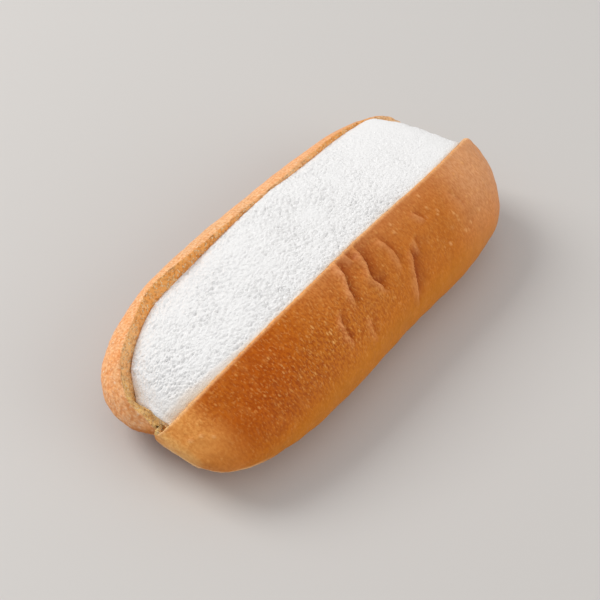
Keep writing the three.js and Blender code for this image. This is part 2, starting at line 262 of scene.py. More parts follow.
# ---------------------------------------------------------------- bread
def run_places(step, near, far):
    """Values of s whose rings lie `step` apart along the outline, tips included."""
    u = np.concatenate([np.linspace(-1, 1, 4001)])
    s = np.sign(u) * (1 - (1 - np.abs(u)) ** 3.2)      # crowded at the tips
    s = np.unique(np.clip(s, -near, far))
    x = place(s)
    w = 0.5 * (half_width(s, RIGHT) + half_width(s, LEFT))
    h = 0.5 * (top_line(s, RIGHT) + top_line(s, LEFT)) * 0.5
    run = np.concatenate([[0], np.cumsum(np.sqrt(np.diff(x) ** 2 + 0.30 * np.diff(w) ** 2 + 0.30 * np.diff(h) ** 2))])
    n = int(round(run[-1] / step))
    return np.interp(np.linspace(0, run[-1], n + 1), run, s)


def half_outline(s, side, n_face, n_crust, fillet):
    """Points (y, z) of one half at each s, from the foot of the slit to the middle of the underside, and the
    distance from the cut edge along the section: below 0 on the cut face, above 0 on the crust."""
    R = len(s)
    S = s[:, None]
    yc, edge, top = crown_y(s)[:, None], outer_y(s, side)[:, None], top_line(s, side)[:, None]
    # crust, over and under
    N = 420
    y0 = slit_edge(s, side)[:, None]
    q0 = np.clip((y0 - yc) / (edge - yc), 0, 1)
    a = mix(np.arcsin(q0 ** (SECTION_UP / 2)), np.pi / 2, np.linspace(0, 1, N)[None, :])
    over_y = mix(yc, edge, np.sin(a) ** (2 / SECTION_UP))
    over_z = BELT + (top - BELT) * np.maximum(np.cos(a), 0) ** (2 / SECTION_UP)
    over_z[:, -1] = BELT
    sl = slit_line(s)[:, None]
    q1 = np.clip((sl - yc) / (edge - yc), 0, 1)
    a = mix(np.pi / 2, np.arcsin(q1 ** (SECTION_DOWN / 2)), np.linspace(0, 1, N)[None, 1:])
    under_y = mix(yc, edge, np.sin(a) ** (2 / SECTION_DOWN))
    under_z = np.maximum(BELT - belly(s)[:, None] * np.maximum(np.cos(a), 0) ** (2 / SECTION_DOWN), 0)
    last_z = crust_bottom(s, slit_line(s))[:, None]
    crust_y = np.concatenate([over_y, under_y, sl], 1)
    crust_z = np.concatenate([over_z, under_z, last_z], 1)
    # cut face, edge first
    t = 1 - np.linspace(0, 1, 160) ** 1.0
    face_y, face_z = cut_face(S, t[None, :], side)
    face_y, face_z = np.broadcast_arrays(face_y, face_z)

    def along(y, z):
        d = np.sqrt(np.diff(y, axis=1) ** 2 + np.diff(z, axis=1) ** 2)
        return np.concatenate([np.zeros((R, 1)), np.cumsum(d, 1)], 1)

    fa, ca = along(face_y, face_z), along(crust_y, crust_z)
    out_y, out_z, out_d = [], [], []
    for i in range(R):
        f_total, c_total = fa[i, -1], ca[i, -1]
        # cut face: from its foot up, closer together towards the edge
        k = np.linspace(0, 1, n_face + 1)[:-1]
        away = f_total * (1 - k) ** 1.7
        # crust: even on show, wider on the flat underside
        weight = np.where(crust_z[i] > 1.2, 1.0, 0.28)
        weight = np.maximum(weight, 1 - smooth(ca[i] / 3.0) * 0.0)
        run = np.concatenate([[0], np.cumsum(0.5 * (weight[1:] + weight[:-1]) * np.diff(ca[i]))])
        c = np.interp(np.linspace(0, run[-1], n_crust), run, ca[i])
        d = np.concatenate([-away, c])
        y = np.where(d < 0, np.interp(-d, fa[i], face_y[i]), np.interp(d, ca[i], crust_y[i]))
        z = np.where(d < 0, np.interp(-d, fa[i], face_z[i]), np.interp(d, ca[i], crust_z[i]))
        # round the cut edge over
        r = min(fillet + (1.3 if side == RIGHT else 0.5) * float(smooth((place(s[i]) - 52) / 20)), 0.3 * f_total, 0.3 * c_total)
        if r > 1e-6:
            A = np.array([np.interp(r, fa[i], face_y[i]), np.interp(r, fa[i], face_z[i])])
            B = np.array([np.interp(r, ca[i], crust_y[i]), np.interp(r, ca[i], crust_z[i])])
            C = np.array([crust_y[i, 0], crust_z[i, 0]])
            near = np.abs(d) < r
            u = ((d + r) / (2 * r))[near]
            y[near] = (1 - u) ** 2 * A[0] + 2 * u * (1 - u) * C[0] + u**2 * B[0]
            z[near] = (1 - u) ** 2 * A[1] + 2 * u * (1 - u) * C[1] + u**2 * B[1]
        out_y.append(y)
        out_z.append(z)
        out_d.append(d)
    return np.array(out_y), np.array(out_z), np.array(out_d)


def bread_grid(step=0.45, n_face=(14, 26), n_crust=(118, 96), fillet=0.55, near=1 - 3e-7, far=1 - 3e-7):
    """Vertex grid of the whole bread, rings by columns: x, y, z, distance from the cut edge, side."""
    s = run_places(step, near, far)
    ry, rz, rd = half_outline(s, RIGHT, n_face[0], n_crust[0], fillet)
    ly, lz, ld = half_outline(s, LEFT, n_face[1], n_crust[1], fillet)
    # loop: right foot .. right crust .. middle of the underside .. left crust .. left foot (shared)
    y = np.concatenate([ry, ly[:, ::-1][:, 1:-1]], 1)
    z = np.concatenate([rz, lz[:, ::-1][:, 1:-1]], 1)
    d = np.concatenate([rd, ld[:, ::-1][:, 1:-1]], 1)
    side = np.concatenate([np.zeros(ry.shape[1]), np.ones(ly.shape[1] - 2)])[None, :].repeat(len(s), 0)
    nR = ry.shape[1]
    reach = np.where(side == RIGHT, end(s, RIGHT_REACH)[:, None], end(s, LEFT_REACH)[:, None])
    # the web joins the halves a little short of their tips
    web = end(s, WEB_TIP)[:, None]
    blend = np.zeros_like(y)
    blend[:, 0] = 1
    half = 0.5 * (half_width(s, RIGHT) + half_width(s, LEFT))[:, None]
    wide = 0.15 + np.minimum(2.6, 0.22 * half)
    valley = np.exp(-(((y - y[:, nR - 1][:, None]) / wide) ** 2)) * (z < z[:, :1])
    dip = np.exp(-(((y - y[:, :1]) / wide) ** 2))
    blend = np.where(s[:, None] > 0, np.where(d > 0, valley, dip), blend)
    blend[:, 0] = 1
    blend[:, nR - 1] = 1
    x = s[:, None] * mix(reach, web, blend)
    x = x + lip(x, y, side)
    return s, np.stack([x, y, z], -1), d, side, nR


def grid_normals(P, wrap=True):
    if wrap:
        along = np.roll(P, -1, 1) - np.roll(P, 1, 1)
    else:
        along = np.gradient(P, axis=1)
    across = np.gradient(P, axis=0)
    n = np.cross(along, across)
    n /= np.maximum(np.linalg.norm(n, axis=-1), 1e-12)[..., None]
    return n


# ---------------------------------------------------------------- relief of the bread
def step_fold(u, sharp, wide):
    """Across a crease: a raised lip before it, a steep drop at u = 0 and a slow climb after it."""
    lip_part = 0.62 * np.exp(-((np.minimum(u + 0.7, 0) / 2.2) ** 2)) * np.exp(-((np.maximum(u + 0.7, 0) / 0.8) ** 2))
    drop = -smooth((u + sharp) / (2 * sharp)) * np.exp(-np.maximum(u, 0) / wide)
    return lip_part + drop


# creases of the right crust: points (distance down from the cut edge, place along X), depth, how wide they fade
FOLDS = (
    (((1.2, -1.6), (2.3, -2.0), (5.0, -2.8), (7.9, -3.2), (10.2, -4.7), (13.0, -5.3), (15.8, -3.8), (17.9, -4.1), (19.9, -0.6)), 2.5, 4.6),
    (((13.8, 13.8), (14.9, 13.3), (17.0, 12.6), (19.5, 10.9), (23.1, 9.2), (26.2, 7.9), (31.5, 7.4)), 1.7, 5.0),
    (((0.4, -11.0), (2.6, -11.4), (6.0, -11.9), (9.6, -14.3), (12.2, -14.7), (15.5, -15.6)), 1.4, 3.2),
    (((1.0, -6.4), (2.2, -6.3), (3.9, -6.1)), 0.9, 1.8),
    (((12.4, -21.6), (15.5, -24.0), (19.4, -24.9), (23.0, -24.4)), 0.9, 2.6),
    (((6.3, 24.4), (8.0, 25.0), (10.0, 25.5)), 0.7, 1.5),
    (((12.6, 17.7), (14.9, 17.4), (17.0, 17.2)), 0.55, 1.8),
    (((4.6, 7.2), (7.2, 8.0), (10.4, 8.3), (13.8, 8.0), (17.0, 7.0)), 0.8, 2.2),
    (((20.0, -14.0), (24.0, -15.5), (28.0, -15.2)), 0.5, 2.6),
    (((9.0, 41.0), (13.0, 43.0), (16.0, 43.5)), 0.35, 2.2),
)


# single blisters of the right crust: distance down from the cut edge, place along X, radius
BLISTERS = (
    (10.7, 42.2, 0.55), (21.6, 41.8, 0.6), (22.4, 37.9, 0.65), (23.0, 39.3, 0.45), (22.1, 28.9, 0.6), (20.5, 48.1, 0.5),
    (3.3, 30.7, 0.6), (6.0, 48.9, 0.5), (5.3, 56.1, 0.55), (14.2, 46.6, 0.5), (14.9, 48.3, 0.45), (6.7, 13.3, 0.5),
    (4.0, 14.2, 0.5), (10.9, 32.2, 0.55), (11.9, 31.2, 0.4), (15.1, 37.0, 0.5), (16.4, 37.6, 0.45), (17.9, 37.1, 0.45),
    (9.3, -77.8, 0.55), (12.1, -75.9, 0.5), (8.3, -80.1, 0.6), (10.2, 27.0, 0.4), (8.0, 29.6, 0.45), (18.5, 33.0, 0.4),
)


def folds(x, d, wobble):
    total, crease_shade_mask, crest_highlight_mask = 0, 0, 0
    for points, depth, wide in FOLDS:
        dd = np.array([p[0] for p in points])
        xx = np.array([p[1] for p in points])
        xc = np.interp(d, dd, xx) + wobble
        along = smooth((d - dd[0] + 1.2) / (0.22 * (dd[-1] - dd[0]) + 1.0)) * smooth((dd[-1] + 1.5 - d) / (0.35 * (dd[-1] - dd[0]) + 1.0))
        u = x - xc
        total = total + depth * along * step_fold(u, 0.45, wide)
        # painted highlight: how strongly the raised lip before each crease is lightened
        crest_highlight_mask = np.maximum(crest_highlight_mask, min(depth, 1.0) * along * np.exp(-((np.minimum(u + 0.7, 0) / 1.7) ** 2)) * np.exp(-((np.maximum(u + 0.7, 0) / 0.5) ** 2)))
        # painted shade: how strongly the hollow after each crease is darkened
        crease_shade_mask = np.maximum(crease_shade_mask, min(0.75 * depth, 1.0) * along * np.exp(-((np.maximum(u - 0.5, 0) / (0.8 * wide)) ** 1.5)) * smooth((u + 0.45) / 0.7))
    return total, crease_shade_mask, crest_highlight_mask


def sway(P):
    """A slow wander of both ends, the same for bread and cream, so that no line there is ruled straight."""
    p = P.reshape(-1, 3)
    x, y, z = p.T
    size = (0.30 * smooth((-x - 70) / 8) + 0.55 * smooth((x - 60) / 10)) * smooth((z - 0.6) / 5)
    move = np.stack([perlin(p, 7.0, 71 + j) * 0.8 + perlin(p, 3.2, 75 + j) * 0.4 for j in range(3)], -1)
    move[:, 0] *= 0.8
    return P + (move * size[:, None]).reshape(P.shape)


def dots(p, scale, seed, share, radius):
    """Domes scattered about `scale` apart; `share` is how many of the places carry one."""
    f, who = cells(p, scale, seed)
    size = radius * (0.6 + 0.8 * ((who * 91.7) % 1.0))
    return np.maximum(0, 1 - (f * scale / size) ** 2) * (who < share)


def relief_bread(P, n, D, SIDE):
    shape = P.shape[:2]
    p = P.reshape(-1, 3)
    x, y, z = p.T
    d, side = D.reshape(-1), SIDE.reshape(-1)
    right, left = side == RIGHT, side == LEFT
    crust = smooth((d + 0.15) / 0.5)
    crumb = 1 - crust
    stand = smooth((z - 1.0) / 4.0)
    ends = smooth((np.where(x > 0, 80.0, 85.5) - np.abs(x)) / 5.0)

    big = fractal(p, 26.0, 2, 11) * 0.42 + perlin(p * np.array([1.6, 1, 1]), 9.0, 12) * 0.15
    mid = perlin(p, 3.4, 13) * 0.05
    stretch = np.array([1.35, 0.8, 0.8])
    grain = perlin(p * stretch, 1.25, 14) * 0.035
    near = smooth((28 - x) / 60)
    blister = dots(p * stretch, 1.5, 15, 0.25 + 0.5 * near, 0.42) * 0.10 + dots(p, 4.5, 16, 0.35, 0.6) * 0.12
    wob = perlin(p, 5.0, 17) * 0.35 + perlin(p, 1.8, 18) * 0.18
    fold, crease_shade_mask, crest_highlight_mask = folds(x, d, wob)
    fold, crease_shade_mask, crest_highlight_mask = fold * right * crust, crease_shade_mask * right * crust, crest_highlight_mask * right * crust
    h = (big * ends + mid + 1.4 * (grain + 0.8 * blister) * (0.5 + 0.5 * near)) * crust * stand
    h = h + fold
    dot = np.zeros_like(x)
    for bd, bx, br in BLISTERS:
        dot = np.maximum(dot, np.clip(1.25 - ((x - bx) ** 2 + 0.6 * (d - bd) ** 2) / br ** 2, 0, 1))
    dot = dot * right * crust
    h = h + 0.22 * dot
    # the left half's skin near its cut edge is rough
    rough_left = left * smooth((9 - d) / 6) * crust
    h = h + rough_left * (perlin(p, 1.3, 21) * 0.13 + perlin(p, 3.2, 22) * 0.10)
    # torn cut edges
    edge = np.exp(-((d / 0.9) ** 2))
    tear = perlin(np.stack([x, 0 * y + 7.0 * side, 0 * z], -1), 2.3, 23) * 0.6 + perlin(np.stack([x, 1.5 + 0 * y, 0 * z], -1), 1.3, 25) * 0.35 * left + perlin(np.stack([x, 3 + 0 * y, 0 * z], -1), 6.0, 24) * 0.5
    h = h + edge * tear * np.where(left, 0.45, 0.10) * ends
    # crumb: open pores, crowded and uneven
    pores, who = cells(p, 1.15, 31)
    small, who2 = cells(p, 0.75, 32)
    open_ = -0.34 * np.maximum(0, 1 - pores / (0.30 + 0.35 * who)) - 0.14 * np.maximum(0, 1 - small / 0.45)
    flake = perlin(p, 1.9, 33) * 0.14 + perlin(p, 6.0, 34) * 0.18
    ragged = 1 + 0.6 * smooth((-x - 66) / 10)
    h = h + crumb * (open_ * 1.0 + flake) * ragged * smooth((z - 10) / 4) * np.where(x > 0, smooth((76.5 - x) / 6.0), smooth((84.6 + x) / 1.5)) - crumb * left * 0.35 * smooth((-x - 60) / 15)
    h = h.reshape(shape)
    for which in (RIGHT, LEFT):
        high = np.where(SIDE == which, P[..., 2], -1e3).max(1)
        low = np.where(SIDE == which, P[..., 2], 1e3).min(1)
        h = np.where(SIDE == which, h * smooth((high - low - 0.3) / 4.0)[:, None], h)
    out = P + n * h[..., None]
    out = sway(out)
    out[..., 2] = np.maximum(out[..., 2], 0.0)
    # painted shade: how far the crumb is sunk in its pores and flakes, used to darken it
    pore_shade = crumb * np.clip(-(open_ + flake * 0.5) / 0.32, 0, 1)
    return out, {"crease_shade_mask": crease_shade_mask, "crest_highlight_mask": crest_highlight_mask, "pore_shade": pore_shade, "crumb": crumb, "lump": big, "blister": blister / 0.1, "grain": grain / 0.035, "dot": dot, "facing": (n.reshape(-1, 3) * np.array([-0.53, -0.43, 0.73])).sum(1)}


# ---------------------------------------------------------------- cream
def cream_end(run):
    return np.where(run < 0, rnd(run, 24, 2.6), rnd(run, 18, 2.8))


def cream_foot(x):
    s = x / end(x, WEB_REACH)
    return slit_foot(s) + 0.5 + 1.8 * smooth((np.abs(x) - 48) / 20)


def cream_low(x, foot):
    return np.where(x < 0, np.maximum(foot, mix(foot, CREAM_NOSE_Z, smooth((-x - 68) / 11))), foot)


def cream_edge(run, side):
    x = run * end(run, CREAM_REACH)
    s = x / end(x, RIGHT_REACH)
    edge_z = crust_top(s, slit_edge(s, side), side)
    below = (
        CREAM_BELOW_RIGHT
        if side == RIGHT
        else CREAM_BELOW_LEFT
        + 2.6 * smooth((-x - 5) / 45)
        + 1.2 * smooth((-x - 74) / 6)
        - 0.5 * np.exp(-(((x - 4) / 8) ** 2))
        + 0.3 * np.exp(-(((x - 30) / 12) ** 2))
        - 0.4 * smooth((x - 42) / 15)
    )
    cap = cream_end(run)
    low = cream_low(x, cream_foot(x))
    return low + (edge_z - below - low) * cap + CREAM_FAR_LIFT[side] * smooth((x - 52) / 20) * cap


def cream_grid(n_rings=600, n_side=8, n_top=142, tuck=0.25):
    """Rings by columns of the cream: foot, right wall, top from right to left, left wall; and v across the top."""
    u = np.linspace(-1, 1, 4001)
    run = np.sign(u) * (1 - (1 - np.abs(u)) ** 2.6)
    x = run * end(run, CREAM_REACH)
    h = cream_edge(run, RIGHT)
    length = np.concatenate([[0], np.cumsum(np.sqrt(np.diff(x) ** 2 + 0.5 * np.diff(h) ** 2))])
    run = np.interp(np.linspace(0, length[-1], n_rings), length, run)
    run[0], run[-1] = -0.99999, 0.99999
    x = run * end(run, CREAM_REACH)
    xR = x + CREAM_FAR_SKEW[RIGHT] * smooth((x - 45) / 20)
    xL = x + CREAM_FAR_SKEW[LEFT] * smooth((x - 45) / 20)
    low = cream_low(x, cream_foot(x))
    eR = np.maximum(cream_edge(run, RIGHT), low + 0.1)
    eL = np.maximum(cream_edge(run, LEFT), low + 0.1)

    def wall(z, side):
        if side == RIGHT:
            return cut_face_y(xR / end(x, RIGHT_REACH), z, RIGHT) - tuck
        return cut_face_y(xL / end(x, LEFT_REACH), z, LEFT) + tuck

    mid = 0.5 * (wall(low, RIGHT) + wall(low, LEFT))
    cols = [np.stack([0.5 * (xR + xL), mid, low], -1)]
    for k in range(1, n_side + 1):
        z = mix(low, eR, k / n_side)
        cols.append(np.stack([xR, wall(z, RIGHT), z], -1))
    a = cols[-1]
    b = np.stack([xL, wall(eL, LEFT), eL], -1)
    rise = CREAM_CROWN * cream_end(run)
    for k in range(1, n_top):
        v = k / n_top
        c = mix(a, b, v)
        c[:, 2] += rise * (4 * v * (1 - v)) ** 0.7
        cols.append(c)
    for k in range(n_side, 0, -1):
        z = mix(low, eL, k / n_side)
        cols.append(np.stack([xL, wall(z, LEFT), z], -1))
    v = np.concatenate([np.zeros(n_side + 1), np.arange(1, n_top) / n_top, np.ones(n_side)])
    return run, np.stack(cols, 1), v


def relief_cream(Q, v, run):
    n = -grid_normals(Q)
    shape = Q.shape[:2]
    p = Q.reshape(-1, 3)
    x, y, z = p.T
    width = np.linalg.norm(Q[:, v == 1][:, 0] - Q[:, v == 0][:, -1], axis=1)[:, None]
    from_right = (v[None, :] * width).reshape(-1)
    from_left = ((1 - v[None, :]) * width).reshape(-1)
    top = ((v > 0) & (v < 1))[None, :].repeat(shape[0], 0).reshape(-1) * 1.0
    # the smooth strip that the knife left along the right edge, and the smooth nose
    strip_wide = 0.35 + 2.0 * smooth((-x - 42) / 30)
    wavy = perlin(np.stack([x, 0 * x, 0 * x], -1), 7.0, 41) * 0.5 + perlin(np.stack([x, 0 * x, 0 * x], -1), 2.4, 42) * 0.3
    strip = 1 - smooth((from_right - strip_wide * (1 + 0.5 * wavy)) / (0.5 + 0.5 * strip_wide))
    nose = smooth((-x - 73.5 + 1.5 * perlin(p, 6.0, 43)) / 4.0)
    far_smooth = 0.5 * smooth((x - 30) / 35) * smooth((from_right - 14) / 12)
    rough = (1 - 0.85 * strip) * (1 - 0.7 * nose) * (1 - far_smooth)
    edge = smooth(np.minimum(from_right, from_left) / 0.9)
    # broad unevenness and marks drawn out along the roll
    h = perlin(p, 21.0, 44) * 0.40 + perlin(p, 9.0, 45) * 0.20 + perlin(p * np.array([0.35, 1, 1]), 3.6, 46) * 0.11 * rough
    # foam: pits in two sizes, with fine grain between
    warp = np.stack([perlin(p, 4.0, 47 + j) for j in range(3)], -1) * 0.5
    q = (p + warp) * np.array([0.85, 1.05, 1.0])
    f1, who = cells(q, 1.12, 51)
    f2, who2 = cells(q, 0.68, 52)
    pits = np.maximum(0, 1 - f1 / (0.34 + 0.30 * who)) ** 1.2 * (who > 0.22)
    fine = np.maximum(0, 1 - f2 / (0.30 + 0.30 * who2)) * (who2 > 0.35)
    patch = 0.75 + 0.5 * perlin(p, 11.0, 53)
    foam = -0.56 * pits - 0.58 * fine + 0.52 * perlin(q, 0.8, 54) + 0.36 * perlin(q, 1.6, 55)
    foam = foam * (1 - 0.35 * smooth((x + 5) / 40) - 0.35 * smooth((x - 38) / 20))
    h = h + foam * rough * patch
    # a shallow bevel along the smooth strip
    h = h - (0.12 + 0.25 * smooth((-x - 32) / 36)) * (1 - smooth(from_right / (strip_wide + 0.6)))
    ends = smooth((79.8 - np.abs(x)) / 2.5)
    h = h * edge * top * mix(0.35, 1.0, ends)
    out = Q + n * h.reshape(shape)[..., None]
    # the far edge is lumpy
    lumps = perlin(np.stack([0 * x, y, 0.6 * z], -1), 7.5, 56) * 1.3 + perlin(np.stack([0 * x, y, 0.6 * z], -1), 2.6, 57) * 0.55
    out[..., 0] = out[..., 0] - (np.clip(lumps + 0.35, -0.2, 2.0) * smooth((x - 60) / 9) * edge * top).reshape(shape)
    out = sway(out)
    return out, {"strip": strip * top, "nose": nose, "pit_shade": np.clip(pits + 0.5 * fine, 0, 1) * rough * top, "from_right": from_right, "from_left": from_left}


# ---------------------------------------------------------------- meshes
def shut(ring, P, nR, near):
    """Triangles, with their UVs, that shut a flattened end ring between its upper and its lower line."""
    C = P.shape[1]
    row = P[ring]
    y = row[:, 1]
    tri, uvs = [], []
    outer = (1 + int(np.argmin(y[1 : nR - 1])), nR + int(np.argmax(y[nR:])))
    chains = (
        (list(range(0, outer[0] + 1)), list(range(nR - 1, outer[0] - 1, -1)), 0.01),
        ([0] + list(range(C - 1, outer[1] - 1, -1)), list(range(nR - 1, outer[1] + 1)), 0.51),
    )
    for which, (a, b, v0) in enumerate(chains):
        fa, fb = (np.concatenate([[0], np.cumsum(np.linalg.norm(np.diff(row[q], axis=0), axis=1))]) for q in (a, b))
        fa, fb = fa / fa[-1], fb / fb[-1]
        u = (0.004, 0.016) if near else (0.996, 0.984)
        at_a = lambda i: (ring * C + a[i], (u[0], v0 + 0.48 * fa[i]))
        at_b = lambda j: (ring * C + b[j], (u[1], v0 + 0.48 * fb[j]))
        i, j, m, n = 0, 0, len(a) - 1, len(b) - 1
        out = []
        while i < m - 1 or j < n - 1:
            if j >= n - 1 or (i < m - 1 and fa[i + 1] <= fb[j + 1]):
                out.append([at_a(i), at_a(i + 1), at_b(j)])
                i += 1
            else:
                out.append([at_a(i), at_b(j + 1), at_b(j)])
                j += 1
        out.append([at_a(i), at_a(m), at_b(j)])
        for t in out:
            if (which == 1) != near:
                t = t[::-1]
            tri.append([q[0] for q in t])
            uvs.append([q[1] for q in t])
    return tri, uvs


def ring_mesh(name, P, tips, flip=False, nR=0):
    """A closed mesh from a grid of rings, with its ends closed on the tips given per column, or shut if there are none."""
    R, C = P.shape[:2]
    verts = (P.reshape(-1, 3) + SHIFT) * 0.001
    faces, uvs = [], []
    i, k = np.meshgrid(np.arange(R - 1), np.arange(C), indexing="ij")
    k1 = (k + 1) % C
    quad = np.stack([i * C + k, i * C + k1, (i + 1) * C + k1, (i + 1) * C + k], -1).reshape(-1, 4)
    lu = np.concatenate([[0], np.cumsum(np.linalg.norm(np.diff(P.mean(1), axis=0), axis=1))])
    lu = lu / lu[-1]
    seg = np.linalg.norm(np.roll(P, -1, 1) - P, axis=-1).mean(0)
    lv = np.concatenate([[0], np.cumsum(seg)])
    lv = lv / lv[-1]
    U = 0.02 + 0.96 * lu
    V = 0.002 + 0.996 * lv
    uv = np.stack(
        [
            np.stack([U[i], V[k]], -1),
            np.stack([U[i], V[k + 1]], -1),
            np.stack([U[i + 1], V[k + 1]], -1),
            np.stack([U[i + 1], V[k]], -1),
        ],
        2,
    ).reshape(-1, 4, 2)
    if flip:
        quad, uv = quad[:, ::-1], uv[:, ::-1]
    # triangles that close the two ends
    tri, tri_uv = [], []
    tip_points = []
    for e, ring in ((0, 0), (1, R - 1)):
        if not tips:
            more, more_uv = shut(ring, P, nR, e == 0)
            tri.extend(more)
            tri_uv.extend(more_uv)
            continue
        label, points = tips[e]
        base = R * C + len(tip_points)
        tip_points.extend((np.asarray(points, float) + SHIFT) * 0.001)
        u_tip = 0.004 if e == 0 else 0.996
        for c in range(C):
            c1 = (c + 1) % C
            a, b = ring * C + c, ring * C + c1
            ta, tb = base + label[c], base + label[c1]
            ua, ub = V[c], V[c + 1]
            order = [(a, (U[ring], ua)), (ta, (u_tip, ua)), (b, (U[ring], ub))] if e == 0 else [(a, (U[ring], ua)), (b, (U[ring], ub)), (ta, (u_tip, ua))]
            tri.append([o[0] for o in order])
            tri_uv.append([o[1] for o in order])
            if ta != tb:
                order = [(b, (U[ring], ub)), (ta, (u_tip, ua)), (tb, (u_tip, ub))] if e == 0 else [(b, (U[ring], ub)), (tb, (u_tip, ub)), (ta, (u_tip, ua))]
                tri.append([o[0] for o in order])
                tri_uv.append([o[1] for o in order])
    tri, tri_uv = np.array(tri), np.array(tri_uv)
    if flip:
        tri, tri_uv = tri[:, ::-1], tri_uv[:, ::-1]
    verts = np.concatenate([verts, np.array(tip_points).reshape(-1, 3)])
    me = bpy.data.meshes.new(name)
    me.vertices.add(len(verts))
    me.vertices.foreach_set("co", verts.astype(np.float32).ravel())
    nq, nt = len(quad), len(tri)
    me.loops.add(nq * 4 + nt * 3)
    me.loops.foreach_set("vertex_index", np.concatenate([quad.ravel(), tri.ravel()]).astype(np.int32))
    me.polygons.add(nq + nt)
    start = np.concatenate([np.arange(nq) * 4, nq * 4 + np.arange(nt) * 3]).astype(np.int32)
    me.polygons.foreach_set("loop_start", start)
    layer = me.uv_layers.new(name="OFBake")
    layer.data.foreach_set("uv", np.concatenate([uv.reshape(-1, 2), tri_uv.reshape(-1, 2)]).astype(np.float32).ravel())
    me.update(calc_edges=True)
    me.validate()
    me.polygons.foreach_set("use_smooth", np.ones(len(me.polygons), bool))
    o = bpy.data.objects.new(name, me)
    bpy.context.scene.collection.objects.link(o)
    return o


def put(o, name, values, tips):
    """A float attribute on every vertex; the tips take the values given."""
    full = np.concatenate([values.reshape(-1), np.asarray(tips, float)])
    at = o.data.attributes.new(name, "FLOAT", "POINT")
    at.data.foreach_set("value", full.astype(np.float32))


# ---------------------------------------------------------------- colours
GOLDEN = (0.575, 0.166, 0.012)      # the browned crust, as reflectance
DEEP = (0.450, 0.090, 0.003)        # where it browned most
CREASE_SHADE = (0.32, 0.052, 0.002)         # painted shade in the hollow of a crease
LOW = (0.575, 0.190, 0.013)         # low on the sides
BASE = (0.56, 0.225, 0.038)         # lowest of all
PINK_AND_SHEEN = (0.735, 0.335, 0.145)        # pink tan of the far end, partly its own colour and partly a painted sheen
TIP = (0.76, 0.305, 0.07)          # the near tip
PALE = (0.93, 0.52, 0.17)           # its outermost rim
PEACH_AND_SHEEN = (0.95, 0.450, 0.180)          # crust of the half that leans open: partly its own paler colour, partly a painted sheen of light
RIM = (0.95, 0.53, 0.24)            # the cut edge
CRUMB = (0.985, 0.415, 0.108)         # the cut face
PORE_SHADE = (0.66, 0.215, 0.035)         # and painted shade in its pores
LIPC = (0.97, 0.61, 0.23)           # the crumb in front of the nose
CREAM = (0.925, 0.914, 0.906)
IVORY_AND_BOUNCE = (0.90, 0.68, 0.44)          # cream spread thin along the edge, and near the nose painted light reflected from the crust
# pinkish painted light reflected from the bread onto the cream
BREAD_BOUNCE = (0.86, 0.72, 0.62)


def lay(base, colour, weight):
    return base + (np.array(colour) - base) * np.clip(weight, 0, 1)[:, None]


